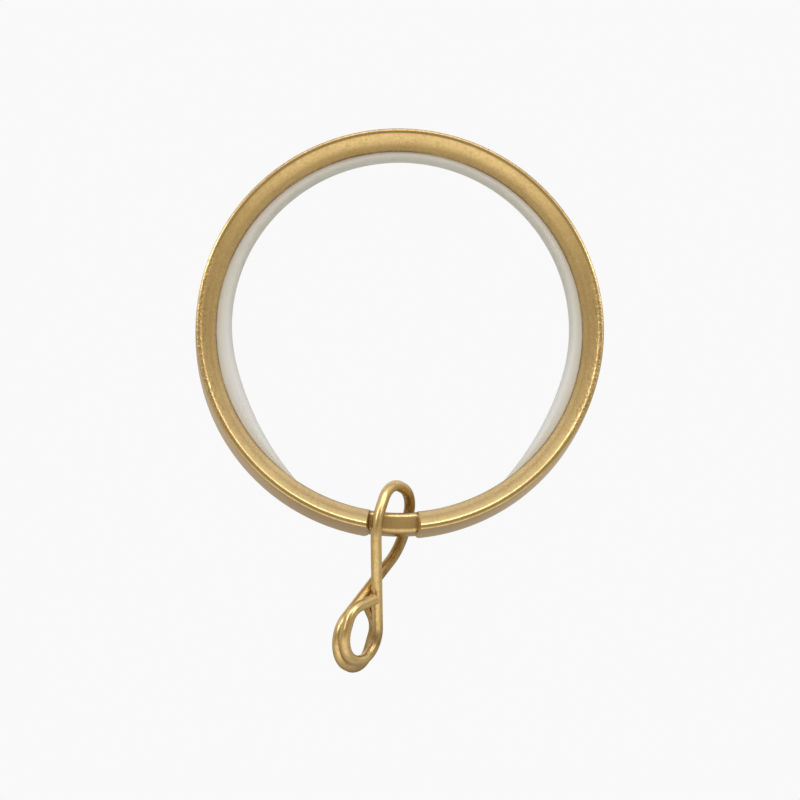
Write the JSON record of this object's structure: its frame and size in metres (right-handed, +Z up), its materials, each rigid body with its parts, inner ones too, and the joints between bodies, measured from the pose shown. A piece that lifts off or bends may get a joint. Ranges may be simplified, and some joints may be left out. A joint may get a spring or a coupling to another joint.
{
  "type": "curtain ring",
  "caption": "Upright metal curtain ring with a C-shaped nylon liner in its inner channel and a bent wire eyelet that hangs from a narrow neck at the bottom.",
  "frame": {"origin": "centre of the metal ring", "axes": "+Y along the ring's axis, away from the front, +Z up, so the eyelet is at the bottom, and +X to the right as seen from the front"},
  "size_m": [0.05, 0.0088, 0.0669],
  "materials": {
    "gold_metal": "satin antique gold",
    "nylon": "milky, slightly translucent",
    "gold_wire": "satin antique gold"
  },
  "bodies": {
    "ring": {"metal_ring": "gold_metal", "nylon_liner": "nylon"},
    "eyelet": {"wire_eyelet": "gold_wire"}
  },
  "joints": [
    {"name": "eyelet_swing", "type": "hinge", "parent": "ring", "child": "eyelet", "pos_m": [0, 0, -0.0237], "axis": [1, 0, 0], "continuous": true}
  ]
}
